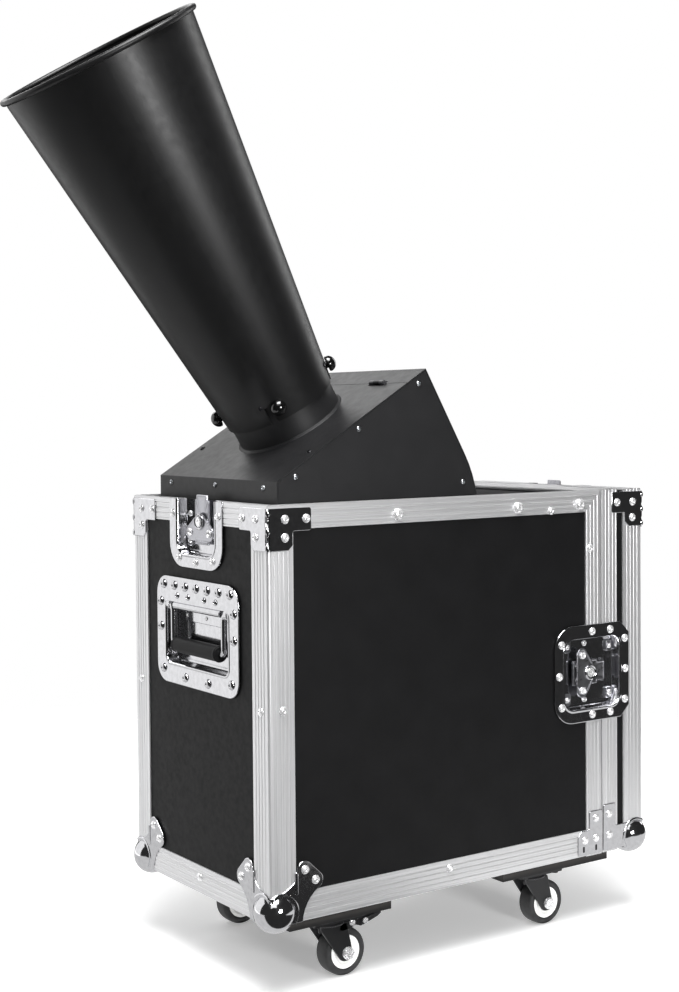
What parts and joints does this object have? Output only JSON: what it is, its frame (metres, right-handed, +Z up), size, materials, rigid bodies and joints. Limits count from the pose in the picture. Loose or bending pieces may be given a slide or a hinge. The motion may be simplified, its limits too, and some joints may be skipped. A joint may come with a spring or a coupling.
{
  "type": "confetti blower",
  "caption": "Gas-driven confetti blower built into a wheeled flight case, with a flared barrel on a sloping hood, hatch, end door, handles and butterfly latches.",
  "frame": {"origin": "on the floor, under the middle of the bounding box at rest", "axes": "+Z up; +X along the case, from the end under the barrel mouth to the door; +Y across it, towards the far side"},
  "size_m": [0.7183, 0.296, 0.9965],
  "materials": {
    "laminate": "birch plywood with a black phenolic face",
    "plank": "black-stained plywood",
    "extrusion": "anodised, reeded",
    "bright_steel": "bright nickel plate",
    "dish_steel": "zinc plate",
    "latch_steel": "zinc plate",
    "black_sheet": "fine black powder coat",
    "plain_sheet": "galvanised",
    "caster_steel": "black zinc",
    "wheel_rubber": "matt black tyre on a moulded hub",
    "black_plastic": "moulded, lightly textured",
    "grip_rubber": "moulded grip on a plated bail",
    "brass": "machined",
    "pipe_steel": "plated fittings",
    "board": "printed circuit board",
    "red_plastic": "translucent red"
  },
  "bodies": {
    "case": {"floor_panel": "laminate", "side_panels": "laminate", "left_end_panel": "laminate", "corner_extrusions": "extrusion", "edge_extrusions": "extrusion", "ball_corners": "bright_steel", "corner_braces": "bright_steel", "case_rivets": "bright_steel", "rim_bolts": "bright_steel", "recessed_dishes": "dish_steel", "caster_planks": "plank", "caster_plates": "caster_steel", "chassis": "black_sheet", "hood_cover": "black_sheet", "hood_sides": "black_sheet", "hood_screws": "bright_steel", "hatch_hinges": "latch_steel", "spigot": "black_sheet", "hopper": "plain_sheet", "gas_nozzle": "brass", "solenoid_valve": "pipe_steel", "gas_pipes": "pipe_steel", "control_panel": "black_sheet", "panel_sockets": "black_plastic", "control_board": "board", "power_supply": "plain_sheet", "bay_deck": "black_sheet"},
    "barrel": {"barrel": "black_sheet"},
    "knob_1": {"clamp_knob_1": "black_plastic"},
    "knob_2": {"clamp_knob_2": "black_plastic"},
    "knob_3": {"clamp_knob_3": "black_plastic"},
    "knob_4": {"clamp_knob_4": "black_plastic"},
    "hatch": {"hatch": "black_sheet"},
    "end_handle": {"end_handle": "grip_rubber"},
    "near_wing": {"near_latch_wing": "latch_steel"},
    "near_hook": {"near_latch_hook": "latch_steel"},
    "far_wing": {"far_latch_wing": "latch_steel"},
    "far_hook": {"far_latch_hook": "latch_steel"},
    "lid_wing": {"lid_latch_wing": "latch_steel"},
    "lid_hook": {"lid_latch_hook": "latch_steel"},
    "door": {"door_panels": "laminate", "door_extrusions": "extrusion", "door_corners": "bright_steel", "door_rivets": "bright_steel", "door_dishes": "dish_steel"},
    "door_handle": {"door_handle": "grip_rubber"},
    "door_wing": {"door_latch_wing": "latch_steel"},
    "door_hook": {"door_latch_hook": "latch_steel"},
    "power_switch": {"power_switch": "red_plastic"},
    "fire_button": {"fire_button": "red_plastic"},
    "fork_near_left": {"fork_near_left": "caster_steel"},
    "wheel_near_left": {"wheel_near_left": "wheel_rubber"},
    "fork_near_right": {"fork_near_right": "caster_steel"},
    "wheel_near_right": {"wheel_near_right": "wheel_rubber"},
    "fork_far_left": {"fork_far_left": "caster_steel"},
    "wheel_far_left": {"wheel_far_left": "wheel_rubber"},
    "fork_far_right": {"fork_far_right": "caster_steel"},
    "wheel_far_right": {"wheel_far_right": "wheel_rubber"},
    "brake_near": {"brake_near": "black_plastic"},
    "brake_far": {"brake_far": "black_plastic"}
  },
  "joints": [
    {"name": "barrel_twist", "type": "hinge", "parent": "case", "child": "barrel", "pos_m": [-0.04223, 0, 0.56998], "axis": [-0.518, 0, 0.8554], "range_deg": [0, 9]},
    {"name": "knob_1_turn", "type": "hinge", "parent": "case", "child": "knob_1", "pos_m": [-0.09155, -0.05457, 0.58688], "axis": [-0.4469, -0.8526, -0.2707], "range_deg": [0, 360]},
    {"name": "knob_2_turn", "type": "hinge", "parent": "case", "child": "knob_2", "pos_m": [-0.01628, -0.03344, 0.63247], "axis": [0.7293, -0.5225, 0.4417], "range_deg": [0, 360]},
    {"name": "knob_3_turn", "type": "hinge", "parent": "case", "child": "knob_3", "pos_m": [-0.03435, 0.05457, 0.62152], "axis": [0.4469, 0.8526, 0.2707], "range_deg": [0, 360]},
    {"name": "knob_4_turn", "type": "hinge", "parent": "case", "child": "knob_4", "pos_m": [-0.10963, 0.03344, 0.57593], "axis": [-0.7293, 0.5225, -0.4417], "range_deg": [0, 360]},
    {"name": "hatch_hinge", "type": "hinge", "parent": "case", "child": "hatch", "pos_m": [0.02585, 0, 0.61238], "axis": [0, -1, 0], "range_deg": [0, 110]},
    {"name": "end_handle_lift", "type": "hinge", "parent": "case", "child": "end_handle", "pos_m": [-0.15832, 0, 0.3765], "axis": [0, 1, 0], "range_deg": [0, 90], "stiffness_Nm_per_rad": 0.6},
    {"name": "near_wing_turn", "type": "hinge", "parent": "case", "child": "near_wing", "pos_m": [0.27218, -0.139, 0.285], "axis": [0, -1, 0], "range_deg": [0, 90]},
    {"name": "near_hook_slide", "type": "slide", "parent": "case", "child": "near_hook", "axis": [1, 0, 0], "range_m": [0, 0.006]},
    {"name": "far_wing_turn", "type": "hinge", "parent": "case", "child": "far_wing", "pos_m": [0.27218, 0.139, 0.285], "axis": [0, 1, 0], "range_deg": [0, 90]},
    {"name": "far_hook_slide", "type": "slide", "parent": "case", "child": "far_hook", "axis": [1, 0, 0], "range_m": [0, 0.006]},
    {"name": "lid_wing_turn", "type": "hinge", "parent": "case", "child": "lid_wing", "pos_m": [-0.15982, 0, 0.468], "axis": [-1, 0, 0], "range_deg": [0, 90]},
    {"name": "lid_hook_slide", "type": "slide", "parent": "case", "child": "lid_hook", "axis": [0, 0, 1], "range_m": [0, 0.006]},
    {"name": "door_wing_turn", "type": "hinge", "parent": "door", "child": "door_wing", "pos_m": [0.35018, 0, 0.468], "axis": [1, 0, 0], "range_deg": [0, 90]},
    {"name": "door_hook_slide", "type": "slide", "parent": "door", "child": "door_hook", "axis": [0, 0, 1], "range_m": [0, 0.006]},
    {"name": "door_slide", "type": "slide", "parent": "case", "child": "door", "axis": [1, 0, 0], "range_m": [0, 0.12]},
    {"name": "door_handle_lift", "type": "hinge", "parent": "door", "child": "door_handle", "pos_m": [0.34868, 0, 0.3765], "axis": [0, -1, 0], "range_deg": [0, 90], "stiffness_Nm_per_rad": 0.6},
    {"name": "swivel_near_left", "type": "hinge", "parent": "case", "child": "fork_near_left", "pos_m": [-0.06982, -0.102, 0.0585], "axis": [0, 0, 1], "continuous": true},
    {"name": "roll_near_left", "type": "hinge", "parent": "fork_near_left", "child": "wheel_near_left", "pos_m": [-0.05182, -0.102, 0.025], "axis": [0, 1, 0], "continuous": true},
    {"name": "brake_near_press", "type": "hinge", "parent": "fork_near_left", "child": "brake_near", "pos_m": [-0.04582, -0.102, 0.0555], "axis": [0, 1, 0], "range_deg": [0, 10]},
    {"name": "swivel_far_left", "type": "hinge", "parent": "case", "child": "fork_far_left", "pos_m": [-0.06982, 0.102, 0.0585], "axis": [0, 0, 1], "continuous": true},
    {"name": "roll_far_left", "type": "hinge", "parent": "fork_far_left", "child": "wheel_far_left", "pos_m": [-0.05182, 0.102, 0.025], "axis": [0, 1, 0], "continuous": true},
    {"name": "brake_far_press", "type": "hinge", "parent": "fork_far_left", "child": "brake_far", "pos_m": [-0.04582, 0.102, 0.0555], "axis": [0, 1, 0], "range_deg": [0, 10]},
    {"name": "swivel_near_right", "type": "hinge", "parent": "case", "child": "fork_near_right", "pos_m": [0.20718, -0.102, 0.0585], "axis": [0, 0, 1], "continuous": true},
    {"name": "roll_near_right", "type": "hinge", "parent": "fork_near_right", "child": "wheel_near_right", "pos_m": [0.22518, -0.102, 0.025], "axis": [0, 1, 0], "continuous": true},
    {"name": "swivel_far_right", "type": "hinge", "parent": "case", "child": "fork_far_right", "pos_m": [0.20718, 0.102, 0.0585], "axis": [0, 0, 1], "continuous": true},
    {"name": "roll_far_right", "type": "hinge", "parent": "fork_far_right", "child": "wheel_far_right", "pos_m": [0.22518, 0.102, 0.025], "axis": [0, 1, 0], "continuous": true},
    {"name": "power_switch_rock", "type": "hinge", "parent": "case", "child": "power_switch", "pos_m": [0.11568, 0.062, 0.283], "axis": [0, 1, 0], "range_deg": [-14, 0]},
    {"name": "fire_button_press", "type": "slide", "parent": "case", "child": "fire_button", "axis": [-1, 0, 0], "range_m": [0, 0.003], "stiffness_N_per_m": 300}
  ],
  "couplings": [
    {"joint": "near_hook_slide", "follows": "near_wing_turn", "m_per_rad": 0.0038197},
    {"joint": "far_hook_slide", "follows": "far_wing_turn", "m_per_rad": 0.0038197},
    {"joint": "lid_hook_slide", "follows": "lid_wing_turn", "m_per_rad": 0.0038197},
    {"joint": "door_hook_slide", "follows": "door_wing_turn", "m_per_rad": 0.0038197}
  ]
}
